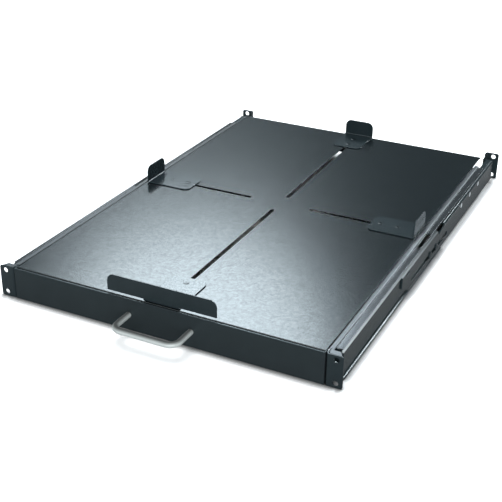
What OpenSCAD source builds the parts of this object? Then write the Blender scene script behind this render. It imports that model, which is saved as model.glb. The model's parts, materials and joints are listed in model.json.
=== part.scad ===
// Sliding shelf for a 19-inch equipment rack, one rack unit high, in millimetres.
// A folded steel tray runs on two ball-bearing slides, between brackets whose rear
// halves slide to suit the depth of the rack. Four stops are clamped in a cross of
// slots in the tray, to hold what stands on it.
// X runs across the rack, Y from the front posts to the rear posts, Z is up.
// The origin is midway between the four front rack holes, on the ears' front face.

/* [Rack] */
// Height of the ears and of the front panel
unit_h = 43.66; // [42:0.01:46]
// Distance between the left and right rack holes
hole_pitch_x = 465.1; // [464:0.1:466]
// Distance between the lower and upper rack holes of one ear
hole_pitch_z = 31.75; // [31:0.05:32]
// Diameter of the rack holes in the front ears
hole_d = 7; // [6:0.1:7.2]
// Diameter of the rack holes in the rear ears
rear_ear_hole_d = 7.5; // [7.3:0.1:8.5]
// Overall width across the ears
ears_w = 482.6; // [480:0.1:486]
// Depth from the front ears' face to the rear ears' face
rack_depth = 710.5; // [700:0.5:730]

/* [Ears and brackets] */
// Thickness of the bracket sheet
bracket_t = 2; // [1.6:0.1:2.2]
// Radius of the bends in the bracket sheet, to the middle of the sheet
bracket_bend_r = 2.4; // [1.8:0.1:3]
// Radius of the ears' outer corners
ear_corner_r = 3; // [1:0.5:5]
// Room left between each ear and its channel for the nuts and, at the rear, the rack post
post_room = 16.5; // [14:0.5:18]
// Length of the front bracket
front_bracket_len = 403; // [398:1:408]
// Outer width of the front bracket's channel
channel_w = 14.4; // [13.9:0.1:15]
// Height of the channel's upper face above the middle of the unit
channel_top = 18.5; // [17.5:0.1:18.6]
// Depth of the channel's lower edge below the middle of the unit
channel_low = 17; // [15:0.1:18]
// Place of the rear bracket's front end
rear_bracket_y = 222; // [215:1:232]
// Height of the rear bracket's flange above the middle of the unit
rear_flange_top = 16; // [15:0.1:17]
// Width of the rear bracket's flange
rear_flange_w = 11.2; // [9:0.1:12]
// Place where the rear bracket's flange starts
rear_flange_y = 411; // [409:1:440]
// Place of the notch that is cut down into the upper edges of both brackets
notch_y = 378; // [375:1:380]
// Height of the notch's bottom above the middle of the unit
notch_low = 9; // [7:0.1:10]
// Height of the adjusting slot
adjust_slot_h = 6.6; // [6.4:0.1:8]
// Place where the adjusting slot starts
adjust_slot_y = 262; // [255:1:270]
// Length of the adjusting slot
adjust_slot_len = 168; // [160:1:190]
// Diameter of the round holes in the rear bracket
rear_hole_d = 7; // [5:0.5:7.5]

/* [Side rails] */
// Thickness of the side rail sheet
rail_t = 1.2; // [1:0.1:1.3]
// Place of the side rail's front end
rail_y = 12; // [11.5:0.5:14]
// Length of the side rail
rail_len = 628; // [600:1:632]
// Width of the side rail's upper flange
rail_flange_w = 6.6; // [5:0.1:7]
// Outer reach of the side rail's lower step
rail_step_w = 7.6; // [6:0.1:8]
// Place of the window in the step
rail_window_y = 311; // [100:1:400]
// Length of the window in the step
rail_window_len = 50; // [20:1:80]

/* [Slides] */
// Thickness of one slide, all three members together
slide_w = 12.7; // [12.7:0.1:13.2]
// Height of the slide
slide_h = 35; // [34.6:0.1:36]
// Thickness of the slide sheet
slide_t = 1.2; // [1:0.1:1.2]
// Diameter of the balls
ball_d = 2.6; // [2.4:0.1:2.7]
// Number of balls in each row
balls_in_row = 8; // [4:1:10]
// Distance between the balls of a row
ball_pitch = 30; // [20:1:30]
// Length of the middle members
middle_len = 611; // [560:1:611]
// Length of the inner members
inner_len = 600; // [560:1:610]

/* [Tray] */
// Thickness of the tray sheet
tray_t = 1.5; // [1.2:0.1:2]
// Width of the tray's deck
deck_w = 434; // [425:1:435]
// Place of the deck's front edge
deck_y = 3.7; // [3.5:0.1:4.5]
// Length of the deck
deck_len = 678.5; // [660:0.5:684]
// Depth of the deck's surface below the ears' upper edge
deck_drop = 0.13; // [0:0.01:0.5]
// Radius of the deck's bends, to the middle of the sheet
deck_bend_r = 1.6; // [1.2:0.1:2.5]
// Depth of the deck's front and rear walls
deck_wall_h = 36; // [30:0.5:38]
// Width of the slots
slot_w = 6; // [5.6:0.1:7]
// Distance of the slots' crossing from the ears' front face
slot_cross_y = 352; // [350:1:354]
// Distance from the crossing to the near end of the front and rear slots
slot_gap_y = 24.5; // [22:0.5:26]
// Distance from the crossing to the near end of the side slots
slot_gap_x = 48; // [44:0.5:50]
// Distance from the crossing to the far end of the front slot
slot_front_reach = 314; // [313:1:318]
// Distance from the crossing to the far end of the rear slot
slot_rear_reach = 308; // [306:1:314]
// Distance from the crossing to the far end of the side slots
slot_side_reach = 190; // [189:0.5:192]

/* [Front panel and handle] */
// Thickness of the front panel
panel_t = 2; // [1.5:0.1:2.2]
// Width of the front panel
panel_w = 436.8; // [434:0.1:437]
// Depth of the panel's side and lower returns
return_len = 10; // [6:0.5:11]
// Diameter of the handle's rod
handle_d = 8; // [6:0.5:9]
// Distance between the handle's feet
handle_w = 88; // [70:1:120]
// Distance from the panel to the middle of the handle's bar
handle_reach = 39; // [30:1:50]
// Radius of the handle's bends, to the middle of the rod
handle_bend_r = 13; // [8:0.5:20]
// Height of the handle above the middle of the unit
handle_z = 0.2; // [-5:0.1:8]

/* [Stops] */
// Thickness of the stop sheet
stop_t = 1.5; // [1.2:0.1:2]
// Width of a stop's base
stop_base_w = 50; // [40:1:56]
// Height of a stop's upright above the deck
stop_h = 26; // [20:0.5:32]
// Radius of the stops' corners
stop_corner_r = 10; // [5:0.5:11]
// Length of a side stop's base
side_stop_len = 71.5; // [69:0.5:75]
// Length of the rear stop's base
rear_stop_len = 67; // [66:0.5:72]
// Length of the front stop's base
front_stop_len = 77; // [75:0.5:79]
// Width of the front stop's upright
front_stop_w = 154; // [120:1:200]
// Gap between the deck and the front stop's wings
wing_gap = 3.3; // [2:0.1:5]
// Distance between the two studs of a stop
stud_pitch = 26; // [24:0.5:28]
// Distance from a base's inner edge to its first stud
stud_inset = 13.5; // [12.5:0.5:15]
// Diameter of the studs
stud_d = 5; // [4:0.1:5.2]

/* [Hidden] */
$fn = 48;

// Colours of the finishes
paint = [0.16, 0.17, 0.18];
paint_deep = [0.11, 0.12, 0.12];
zinc = [0.62, 0.64, 0.66];
satin = [0.70, 0.72, 0.72];
steel = [0.78, 0.79, 0.80];
rubber = [0.06, 0.06, 0.06];

// How far a cut runs past the face that it opens
overrun = 1;
// Gap on each side of a shank in a hole that it only passes through
shank_clear = 0.05;
// Gap between faces that slide on each other
glide_clear = 0.15;

// Heights
ear_top = unit_h / 2;
deck_top = ear_top - deck_drop;
deck_under = deck_top - tray_t;

// Places across the rack, from the middle outwards
rail_x = panel_w / 2;
web_x = rail_x + rail_t;
channel_out = web_x + channel_w;
rear_web_clear = 0.2;
rear_web_x = channel_out + rear_web_clear;
rear_out = rear_web_x + bracket_t;
step_x = rail_x + rail_flange_w;
step_out = step_x + rail_step_w;
step_top = channel_top + rail_t;
tray_side_x = rail_x - slide_w;

// Gap between the ear's short web and the front end of the side rail
ear_web_gap = 0.5;

// Rail details
rail_low = channel_low + bracket_t;
rail_bend_r = 0.7 * rail_t;
step_set_back = 7;
step_y = rail_y + step_set_back;
window_inset = 0.6;

// Front lobe of the rail's flange, which covers the space behind the front ear
lobe_gap = 0.2;
lobe_x = web_x + bracket_t + lobe_gap;
lobe_y = bracket_t + lobe_gap;
lobe_back_y = 10;
lobe_join = 1;

// Rivets that join the side rail, the slide's outer member and the bracket
rivet_d = 4;
rivet_head_d = 7.6;
rivet_head_h = 1.4;
rail_rivet_count = 5;
rail_rivet_inset = 48;
rail_rivet_pitch = (rail_len - 2 * rail_rivet_inset) / (rail_rivet_count - 1);

// Ends of the channels, beyond the room left behind the ears
channel_y = bracket_t + post_room;
rear_end_y = rack_depth - bracket_t - post_room;

// Bolts that clamp the rear bracket
bolt_d = 5.9;
bolt_head_d = 11;
bolt_head_h = 1.6;
bolt_pitch = 30;
bolt_from_end = 28;
bolt_last_y = front_bracket_len - bolt_from_end;
bolt_z = -6;
bolt_nut_af = 10;
bolt_nut_h = 4;
bolt_tail = 1.2;

// Lip along the lower edge of the front bracket
bracket_lip_w = 2.3;
bracket_lip_drop = 1.3;

// Notch in the upper edges of both brackets
notch_taper = 7;

// Rear bracket details
nose_top_drop = 1.5;
nose_low = 1;
nose_taper = 30;
key_slot_len = 15;
key_slot_h = 3.4;
key_slot_inset = 15;
key_slot_drop = 5.9;
rear_hole_z = 8.6;
rear_hole_from_end = 111.5;
rear_hole_pitch = 48.5;
rear_hole_count = 3;

// Slide members, each measured from the side rail's inner face towards the tray
web_gap = 1;
ball_play = 0.1;
race_gap = ball_d + 2 * ball_play;
lip_clear = 1.3;
lip_set_back = 0.8;
middle_in = slide_t + web_gap;
inner_in = middle_in + slide_t + web_gap;
middle_lip_end = slide_w - slide_t - lip_clear;
outer_lip_end = middle_lip_end - lip_set_back;
middle_h = slide_h - 2 * (slide_t + race_gap);
inner_h = middle_h - 2 * (slide_t + race_gap);
slide_bend_r = slide_t;
outer_y = rail_y + 2;
outer_len = rail_len - 2;
middle_y = outer_y;
inner_y = rail_y - 2;

// Ball cages
cage_t = 0.6;
cage_web_t = 0.4;
cage_web_clear = (web_gap - cage_web_t) / 2;
cage_end = 8;
outer_ball_in = 6.5;
inner_ball_in = 7.2;
cage_lip_over = 2.2;
cage_len = (balls_in_row - 1) * ball_pitch + 2 * cage_end;
outer_cage_y = 188;
inner_cage_y = 204;
outer_web_in = slide_t + cage_web_clear;
inner_web_in = middle_in + slide_t + cage_web_clear;
outer_strip_z = slide_h / 2 - slide_t - race_gap / 2;
inner_strip_z = middle_h / 2 - slide_t - race_gap / 2;

// Rubber bumpers at the rear of the outer members
bumper_gap = 0.3;
bumper_len = outer_y + outer_len - middle_y - middle_len - bumper_gap;
bumper_inset = 2.4;

// Tray details
wall_in = 13.6;
wall_cut_drop = 2;
tray_side_h = 38;
tray_flange_w = 11;
tray_side_gap = 0.2;
tray_rivet_count = 4;
tray_rivet_inset = 30;
tray_rivet_pitch = (inner_len - 2 * tray_rivet_inset) / (tray_rivet_count - 1);

// Panel fixing
panel_gap = deck_y - panel_t;
panel_return_t = 1.3;
panel_low_t = 1.5;
panel_stud_d = 4;
panel_collar_d = 8;
panel_stud_outer = 190;
panel_stud_inner = 100;
panel_stud_x = [-panel_stud_outer, -panel_stud_inner, panel_stud_inner, panel_stud_outer];
panel_stud_z = -6;
panel_nut_af = 7;
panel_nut_h = 3.2;
panel_stud_tail = 1.5;
panel_edge_r = 0.8;

// Handle fixing
screw_d = 4;
screw_depth = 12;
screw_head_d = 8;
screw_head_h = 2.4;
access_d = 11;

// Stop details
stop_bend_r = 2;
stud_head_d = 8.4;
stud_head_h = 0.7;
clamp_t = 1.6;
clamp_w = 14;
clamp_over = 8;
clamp_gap = 0.2;
// Depth of the clamp plate's upper face below the stop's lower face
clamp_depth = tray_t + glide_clear + clamp_gap;
lock_nut_af = 8;
lock_nut_h = 4;
thumb_nut_d = 16;
thumb_nut_h = 6;
thumb_notch_count = 16;
thumb_notch_d = 1.6;
thumb_play = 0.05;
stud_tail = 1.5;
stop_edge_gap = 1.1;
rear_stop_over = 0.6;

// Where the stops' outer faces stand
side_stop_face = deck_w / 2 - stop_edge_gap;
rear_stop_face = deck_y + deck_len + rear_stop_over;
front_stop_face = deck_y + stop_edge_gap;

// Draws a flat shape of the X-Z plane out along Y, from y0 to y1.
module along_y(y0, y1) {
  translate([0, y1, 0]) rotate([90, 0, 0]) linear_extrude(y1 - y0) children();
}

// Draws a flat shape of the Y-Z plane out along X, from x0 to x1.
module along_x(x0, x1) {
  translate([x0, 0, 0]) rotate([90, 0, 90]) linear_extrude(x1 - x0) children();
}

// Cross-section of a sheet folded along a path of right angles.
// The path runs in the middle of the sheet, and r is the bend radius there.
module folded(path, t, r) {
  last = len(path) - 1;
  for (i = [0 : last - 1]) {
    run = path[i + 1] - path[i];
    dir = run / norm(run);
    from = path[i] + dir * (i == 0 ? 0 : r);
    to = path[i + 1] - dir * (i == last - 1 ? 0 : r);
    side = [abs(dir[1]), abs(dir[0])] * t;
    size = [abs(to[0] - from[0]), abs(to[1] - from[1])] + side;
    translate((from + to) / 2) square(size, center = true);
  }
  for (i = [1 : last - 1]) {
    before = path[i] - path[i - 1];
    after = path[i + 1] - path[i];
    d0 = before / norm(before);
    d1 = after / norm(after);
    middle = path[i] + (d1 - d0) * r;
    reach = r + t;
    intersection() {
      translate(middle) difference() {
        circle(r + t / 2);
        circle(r - t / 2);
      }
      translate(middle + (d0 - d1) * reach / 2) square([reach, reach], center = true);
    }
  }
}

// A slot with round ends in the X-Y plane, from one end to the other along X.
module slot_shape(from, to, w) {
  translate([from + w / 2, -w / 2]) square([to - from - w, w]);
  translate([from + w / 2, 0]) circle(d = w);
  translate([to - w / 2, 0]) circle(d = w);
}

// What a rounded corner cuts away, with the corner at the origin and the plate at +X +Y.
module corner_waste(r) {
  difference() {
    translate([-overrun, -overrun]) square([r + overrun, r + overrun]);
    translate([r, r]) circle(r);
  }
}

// A hexagonal nut with its bore, standing on the X-Y plane.
module hex_nut(af, h, bore) {
  difference() {
    cylinder(h = h, d = af / cos(30), $fn = 6);
    translate([0, 0, -overrun]) cylinder(h = h + 2 * overrun, d = bore);
  }
}

// Mirrors a right-hand piece to the left.
module to_left() {
  mirror([1, 0, 0]) children();
}

// Puts a piece drawn along +Z onto the X axis, pointing away from the middle.
module point_out() {
  rotate([0, 90, 0]) children();
}

// Puts a piece drawn along +Z onto the Y axis, pointing to the rear.
module point_back() {
  rotate([-90, 0, 0]) children();
}

// Ear plate with its short web, at the front, its face on y = 0.
module ear(rack_hole_d) {
  difference() {
    linear_extrude(unit_h) folded([
      [ears_w / 2, bracket_t / 2],
      [web_x + bracket_t / 2, bracket_t / 2],
      [web_x + bracket_t / 2, rail_y - ear_web_gap]
    ], bracket_t, bracket_bend_r);
    for (z = [-1, 1]) {
      translate([hole_pitch_x / 2, -overrun, unit_h / 2 + z * hole_pitch_z / 2])
        point_back() cylinder(h = bracket_t + 2 * overrun, d = rack_hole_d);
    }
    for (z = [0, 1]) {
      translate([ears_w / 2, -overrun, z * unit_h]) mirror([0, 0, z]) rotate([90, 0, 180])
        linear_extrude(bracket_t + 2 * overrun) corner_waste(ear_corner_r);
    }
  }
}

// Ear at its height, with the web that runs back to the channel.
module ear_and_neck() {
  translate([0, 0, -ear_top]) ear(hole_d);
  translate([web_x, bracket_t + bracket_bend_r, -channel_low])
    cube([bracket_t, post_room, channel_low + channel_top]);
}

// Channel closed at its front end by a plate, with a lip along its outer lower edge.
module bracket_channel() {
  mid_top = channel_top - bracket_t / 2;
  mid_lip = -channel_low - bracket_lip_drop - bracket_t / 2;
  along_y(channel_y, front_bracket_len) folded([
    [web_x + bracket_t / 2, -channel_low],
    [web_x + bracket_t / 2, mid_top],
    [channel_out - bracket_t / 2, mid_top],
    [channel_out - bracket_t / 2, mid_lip],
    [channel_out + bracket_lip_w, mid_lip]
  ], bracket_t, bracket_bend_r);
  translate([web_x + bracket_t / 2, channel_y, -channel_low])
    cube([channel_w - bracket_t, bracket_t, channel_low + channel_top - bracket_bend_r]);
}

// Front bracket: ear, neck and channel, with the holes of its rivets and bolts.
module front_bracket() {
  color(paint_deep) difference() {
    union() {
      ear_and_neck();
      bracket_channel();
    }
    rail_rivet_places() translate([web_x - overrun, 0, 0])
      point_out() cylinder(h = bracket_t + 2 * overrun, r = rivet_d / 2 + shank_clear);
    bolt_places() translate([channel_out - bracket_t - overrun, 0, 0])
      point_out() cylinder(h = bracket_t + 2 * overrun, r = bolt_d / 2 + shank_clear);
    translate([0, 0, channel_top - bracket_t - overrun])
      linear_extrude(bracket_t + 2 * overrun) window_shape();
    along_x(web_x - overrun, channel_out + overrun) polygon([
      [notch_y, channel_top + overrun],
      [notch_y + notch_taper, notch_low],
      [front_bracket_len + overrun, notch_low],
      [front_bracket_len + overrun, channel_top + overrun]
    ]);
  }
}

// Places of the rivets along the side rail.
module rail_rivet_places() {
  for (i = [0 : rail_rivet_count - 1]) {
    translate([0, rail_y + rail_rivet_inset + i * rail_rivet_pitch, 0]) children();
  }
}

// Places of the two clamping bolts.
module bolt_places() {
  for (i = [0, 1]) {
    translate([0, bolt_last_y - i * bolt_pitch, bolt_z]) children();
  }
}

// Outline of the window in the rail's step and the channel under it.
module window_shape() {
  translate([step_x + window_inset, rail_window_y])
    square([step_out - step_x - 2 * window_inset, rail_window_len]);
}

// Rear bracket: a slotted web that slides on the channel, a flange, and the rear ear.
module rear_bracket() {
  color(paint_deep) difference() {
    union() {
      translate([0, rack_depth, 0]) mirror([0, 1, 0]) translate([0, 0, -ear_top]) ear(rear_ear_hole_d);
      translate([web_x, rear_end_y - bracket_t, -channel_low])
        cube([bracket_t, post_room, channel_low + rear_flange_top]);
      rear_web();
      rear_flange();
      translate([web_x, rear_end_y - bracket_t, -channel_low])
        cube([rear_out - web_x, bracket_t, channel_low + rear_flange_top]);
    }
    along_x(rear_web_x - overrun, rear_out + overrun) {
      translate([0, bolt_z])
        slot_shape(adjust_slot_y, adjust_slot_y + adjust_slot_len, adjust_slot_h);
      translate([0, channel_top - key_slot_drop]) slot_shape(
        rear_bracket_y + key_slot_inset, rear_bracket_y + key_slot_inset + key_slot_len, key_slot_h);
      for (i = [0 : rear_hole_count - 1]) {
        translate([rack_depth - rear_hole_from_end - i * rear_hole_pitch, rear_hole_z])
          circle(d = rear_hole_d);
      }
    }
  }
}

// Flat web of the rear bracket, with its nose cut back below and the notch above.
module rear_web() {
  along_x(rear_web_x, rear_out) polygon([
    [rear_bracket_y, channel_top - nose_top_drop],
    [rear_bracket_y, -nose_low],
    [rear_bracket_y + nose_taper, -channel_low],
    [rear_end_y, -channel_low],
    [rear_end_y, rear_flange_top - bracket_bend_r],
    [rear_flange_y, rear_flange_top - bracket_bend_r],
    [notch_y + notch_taper, notch_low],
    [notch_y, channel_top - nose_top_drop]
  ]);
}

// Upper flange of the rear bracket.
module rear_flange() {
  mid_top = rear_flange_top - bracket_t / 2;
  along_y(rear_flange_y, rear_end_y) folded([
    [rear_out - rear_flange_w, mid_top],
    [rear_out - bracket_t / 2, mid_top],
    [rear_out - bracket_t / 2, -channel_low]
  ], bracket_t, bracket_bend_r);
}

// Side rail: web beside the slide, upper flange beside the deck, step on the channel.
module side_rail() {
  half = rail_t / 2;
  web_path = [
    [step_x, half - rail_low],
    [rail_x + half, half - rail_low],
    [rail_x + half, deck_top - half]
  ];
  flange_path = concat(web_path, [[step_x, deck_top - half]]);
  step_path = concat(web_path, [
    [step_x - half, deck_top - half],
    [step_x - half, step_top - half],
    [step_out, step_top - half]
  ]);
  color(paint) difference() {
    union() {
      along_y(rail_y, step_y) folded(flange_path, rail_t, rail_bend_r);
      along_y(step_y, rail_y + rail_len) folded(step_path, rail_t, rail_bend_r);
      translate([0, 0, deck_top - rail_t]) linear_extrude(rail_t) lobe_shape();
    }
    translate([0, 0, step_top - rail_t - overrun])
      linear_extrude(rail_t + 2 * overrun) window_shape();
    rail_rivet_places() translate([rail_x - overrun, 0, 0])
      point_out() cylinder(h = rail_t + 2 * overrun, r = rivet_d / 2 + shank_clear);
  }
}

// Outline of the lobe at the front end of the rail's flange, clear of the ear's bend.
module lobe_shape() {
  polygon([
    [lobe_x + bracket_bend_r, lobe_y],
    [ears_w / 2 - ear_corner_r, lobe_y],
    [channel_out, lobe_back_y],
    [step_x, lobe_back_y],
    [step_x, rail_y + lobe_join],
    [lobe_x, rail_y + lobe_join],
    [lobe_x, lobe_y + bracket_bend_r]
  ]);
}

// Rivets through the outer slide member, the side rail and, in front, the bracket.
module rail_rivets() {
  color(zinc) for (m = [0, 1]) {
    mirror([m, 0, 0]) for (i = [0 : rail_rivet_count - 1]) {
      y = rail_y + rail_rivet_inset + i * rail_rivet_pitch;
      seat = y < front_bracket_len - rivet_head_d ? web_x + bracket_t : web_x;
      translate([rail_x - slide_t, y, 0]) point_out() {
        cylinder(h = seat - rail_x + slide_t, d = rivet_d);
        translate([0, 0, seat - rail_x + slide_t]) cylinder(h = rivet_head_h, d = rivet_head_d);
      }
    }
  }
}

// Low-headed bolts that hold the rear bracket to the channel through its slot.
module clamp_bolts() {
  color(paint_deep) for (m = [0, 1]) {
    mirror([m, 0, 0]) bolt_places() {
      tail_x = channel_out - bracket_t - bolt_nut_h - bolt_tail;
      translate([tail_x, 0, 0]) point_out() cylinder(h = rear_out - tail_x, d = bolt_d);
      translate([rear_out, 0, 0]) point_out() cylinder(h = bolt_head_h, d = bolt_head_d);
    }
  }
}

// Nuts of the clamping bolts, inside the channel.
module clamp_nuts() {
  color(paint_deep) for (m = [0, 1]) {
    mirror([m, 0, 0]) bolt_places() translate([channel_out - bracket_t - bolt_nut_h, 0, 0])
      point_out() hex_nut(bolt_nut_af, bolt_nut_h, bolt_d + 2 * shank_clear);
  }
}

// One slide member: a channel whose web lies at depth a and whose lips end at depth b.
module slide_channel(a, b, h, y, length) {
  half = slide_t / 2;
  web = rail_x - a - half;
  along_y(y, y + length) folded([
    [rail_x - b, h / 2 - half],
    [web, h / 2 - half],
    [web, half - h / 2],
    [rail_x - b, half - h / 2]
  ], slide_t, slide_bend_r);
}

// Outer member, fixed to the side rail.
module slide_outer() {
  color(zinc) difference() {
    slide_channel(0, outer_lip_end, slide_h, outer_y, outer_len);
    rail_rivet_places() translate([rail_x - slide_t - overrun, 0, 0])
      point_out() cylinder(h = slide_t + 2 * overrun, r = rivet_d / 2 + shank_clear);
  }
}

// Middle member, which runs between the outer and the inner one.
module slide_middle() {
  color(zinc) slide_channel(middle_in, middle_lip_end, middle_h, middle_y, middle_len);
}

// Inner member, fixed to the side of the tray.
module slide_inner() {
  color(zinc) difference() {
    slide_channel(slide_w - slide_t, inner_in, inner_h, inner_y, inner_len);
    tray_rivet_places() translate([tray_side_x - overrun, 0, 0])
      point_out() cylinder(h = slide_t + 2 * overrun, r = rivet_d / 2 + shank_clear);
  }
}

// Places of the rivets along the inner member.
module tray_rivet_places() {
  for (i = [0 : tray_rivet_count - 1]) {
    translate([0, inner_y + tray_rivet_inset + i * tray_rivet_pitch, 0]) children();
  }
}

// Rivets that hold the inner members to the sides of the tray.
module slide_rivets() {
  color(zinc) for (m = [0, 1]) {
    mirror([m, 0, 0]) tray_rivet_places() {
      translate([tray_side_x - tray_t - rivet_head_h, 0, 0])
        point_out() cylinder(h = rivet_head_h, d = rivet_head_d);
      translate([tray_side_x - tray_t, 0, 0]) point_out() cylinder(h = tray_t + slide_t, d = rivet_d);
      translate([tray_side_x + slide_t, 0, 0]) point_out() cylinder(h = rivet_head_h, d = rivet_head_d);
    }
  }
}

// Rubber bumpers in the rear ends of the outer members.
module slide_bumpers() {
  color(rubber) for (m = [0, 1]) {
    mirror([m, 0, 0]) translate([
      rail_x - outer_lip_end, outer_y + outer_len - bumper_len, bumper_inset - slide_h / 2 + slide_t
    ]) cube([outer_lip_end - slide_t, bumper_len, slide_h - 2 * slide_t - 2 * bumper_inset]);
  }
}

// Ball cage: a thin web with an upper and a lower strip, pierced for the balls.
module cage(web_in, ball_in, strip_z, y) {
  half = cage_t / 2;
  color(zinc) difference() {
    union() {
      translate([rail_x - web_in - cage_web_t, y, -strip_z - half])
        cube([cage_web_t, cage_len, 2 * strip_z + cage_t]);
      for (s = [-1, 1]) {
        translate([rail_x - ball_in - cage_lip_over, y, s * strip_z - half])
          cube([ball_in + cage_lip_over - web_in, cage_len, cage_t]);
      }
    }
    ball_places(ball_in, strip_z, y) translate([0, 0, -half - overrun])
      cylinder(h = cage_t + 2 * overrun, r = ball_d / 2 + ball_play);
  }
}

// Places of the balls in the two rows of a cage.
module ball_places(ball_in, strip_z, y) {
  for (s = [-1, 1]) {
    for (i = [0 : balls_in_row - 1]) {
      translate([rail_x - ball_in, y + cage_end + i * ball_pitch, s * strip_z]) children();
    }
  }
}

// Cage between the outer and the middle member.
module outer_cage() {
  cage(outer_web_in, outer_ball_in, outer_strip_z, outer_cage_y);
}

// Balls of that cage.
module outer_balls() {
  color(steel) ball_places(outer_ball_in, outer_strip_z, outer_cage_y) sphere(d = ball_d);
}

// Cage between the middle and the inner member.
module inner_cage() {
  cage(inner_web_in, inner_ball_in, inner_strip_z, inner_cage_y);
}

// Balls of that cage.
module inner_balls() {
  color(steel) ball_places(inner_ball_in, inner_strip_z, inner_cage_y) sphere(d = ball_d);
}

// Deck: a folded plate with a front and a rear wall and the cross of slots.
module tray_deck() {
  half = tray_t / 2;
  wall_x = deck_w / 2 - wall_in;
  color(paint) difference() {
    along_x(-deck_w / 2, deck_w / 2) folded([
      [deck_y + half, deck_top - deck_wall_h],
      [deck_y + half, deck_top - half],
      [deck_y + deck_len - half, deck_top - half],
      [deck_y + deck_len - half, deck_top - deck_wall_h]
    ], tray_t, deck_bend_r);
    for (m = [0, 1]) {
      mirror([m, 0, 0]) translate([
        wall_x, deck_y - overrun, deck_top - deck_wall_h - overrun
      ]) cube([wall_in + overrun, deck_len + 2 * overrun, deck_wall_h - tray_t - wall_cut_drop + overrun]);
    }
    translate([0, 0, deck_under - overrun]) linear_extrude(tray_t + 2 * overrun) slot_cross();
    for (x = panel_stud_x) {
      translate([x, deck_y - overrun, panel_stud_z])
        point_back() cylinder(h = tray_t + 2 * overrun, r = panel_stud_d / 2 + shank_clear);
    }
    for (x = [-1, 1]) {
      translate([x * handle_w / 2, deck_y - overrun, handle_z])
        point_back() cylinder(h = tray_t + 2 * overrun, d = access_d);
    }
  }
}

// The four slots of the cross, seen from above.
module slot_cross() {
  for (m = [0, 1]) {
    mirror([m, 0, 0]) translate([0, slot_cross_y]) slot_shape(slot_gap_x, slot_side_reach, slot_w);
  }
  translate([0, slot_cross_y]) rotate([0, 0, 90]) slot_shape(slot_gap_y, slot_rear_reach, slot_w);
  translate([0, slot_cross_y]) rotate([0, 0, -90]) slot_shape(slot_gap_y, slot_front_reach, slot_w);
}

// Side channel of the tray, under the deck, which carries the inner slide member.
module tray_side() {
  half = tray_t / 2;
  color(paint) difference() {
    along_y(deck_y + tray_t + tray_side_gap, deck_y + deck_len - tray_t - tray_side_gap) folded([
      [tray_side_x - tray_flange_w, deck_under - half],
      [tray_side_x - half, deck_under - half],
      [tray_side_x - half, deck_under - tray_side_h + half],
      [tray_side_x - tray_flange_w, deck_under - tray_side_h + half]
    ], tray_t, deck_bend_r);
    tray_rivet_places() translate([tray_side_x - tray_t - overrun, 0, 0])
      point_out() cylinder(h = tray_t + 2 * overrun, r = rivet_d / 2 + shank_clear);
  }
}

// Front panel with folded side and lower returns.
module front_panel() {
  color(paint_deep) difference() {
    union() {
      translate([-panel_w / 2, 0, -ear_top]) cube([panel_w, panel_t, unit_h]);
      for (m = [0, 1]) {
        mirror([m, 0, 0]) translate([panel_w / 2 - panel_return_t, 0, -ear_top])
          cube([panel_return_t, return_len, unit_h]);
      }
      translate([-panel_w / 2, 0, -ear_top]) cube([panel_w, return_len, panel_low_t]);
    }
    for (x = [-1, 1]) {
      translate([x * handle_w / 2, -overrun, handle_z])
        point_back() cylinder(h = panel_t + 2 * overrun, r = screw_d / 2 + shank_clear);
    }
    for (m = [0, 1]) {
      mirror([m, 0, 0]) {
        translate([panel_w / 2, 0, -ear_top - overrun]) rotate([0, 0, 90])
          linear_extrude(unit_h + 2 * overrun) corner_waste(panel_edge_r);
      }
    }
  }
}

// Studs on the back of the panel, with the collars that space it from the deck's wall.
module panel_studs() {
  color(zinc) for (x = panel_stud_x) {
    translate([x, panel_t, panel_stud_z]) point_back() {
      cylinder(h = panel_gap, d = panel_collar_d);
      cylinder(h = panel_gap + tray_t + panel_nut_h + panel_stud_tail, d = panel_stud_d);
    }
  }
}

// Nuts on those studs, behind the deck's front wall.
module panel_nuts() {
  color(zinc) for (x = panel_stud_x) {
    translate([x, deck_y + tray_t, panel_stud_z])
      point_back() hex_nut(panel_nut_af, panel_nut_h, panel_stud_d + 2 * shank_clear);
  }
}

// Bow handle bent from one round rod.
module handle() {
  leg = handle_reach - handle_bend_r;
  bar = handle_w - 2 * handle_bend_r;
  color(satin) difference() {
    union() {
      for (m = [0, 1]) {
        mirror([m, 0, 0]) {
          translate([handle_w / 2, -leg, handle_z]) point_back() cylinder(h = leg, d = handle_d);
          translate([handle_w / 2 - handle_bend_r, -leg, handle_z]) rotate([0, 0, -90])
            rotate_extrude(angle = 90) translate([handle_bend_r, 0]) circle(d = handle_d);
        }
      }
      translate([-bar / 2, -handle_reach, handle_z]) point_out() cylinder(h = bar, d = handle_d);
    }
    for (x = [-1, 1]) {
      translate([x * handle_w / 2, -screw_depth - overrun, handle_z])
        point_back() cylinder(h = screw_depth + 2 * overrun, r = screw_d / 2 + shank_clear);
    }
  }
}

// Screws that hold the handle from behind the panel.
module handle_screws() {
  color(zinc) for (x = [-1, 1]) {
    translate([x * handle_w / 2, -screw_depth, handle_z]) point_back() {
      cylinder(h = screw_depth + panel_t, d = screw_d);
      translate([0, 0, screw_depth + panel_t]) cylinder(h = screw_head_h, d = screw_head_d);
    }
  }
}

// A stop in its own frame: its upright's outer face on x = 0, its base towards -X.
// It is drawn with its lower face on z = 0.
module stop_shape(base_len, upright_w, gap) {
  half = stop_t / 2;
  difference() {
    rotate([90, 0, 0]) translate([0, 0, -upright_w / 2]) linear_extrude(upright_w) folded([
      [-base_len, half],
      [-half, half],
      [-half, stop_h]
    ], stop_t, stop_bend_r);
    for (m = [0, 1]) {
      mirror([0, m, 0]) {
        stop_waste(base_len, upright_w, gap);
      }
    }
    for (i = [0, 1]) {
      translate([stud_inset + i * stud_pitch - base_len, 0, -overrun])
        cylinder(h = stop_t + 2 * overrun, r = stud_d / 2 + shank_clear);
    }
  }
}

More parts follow.
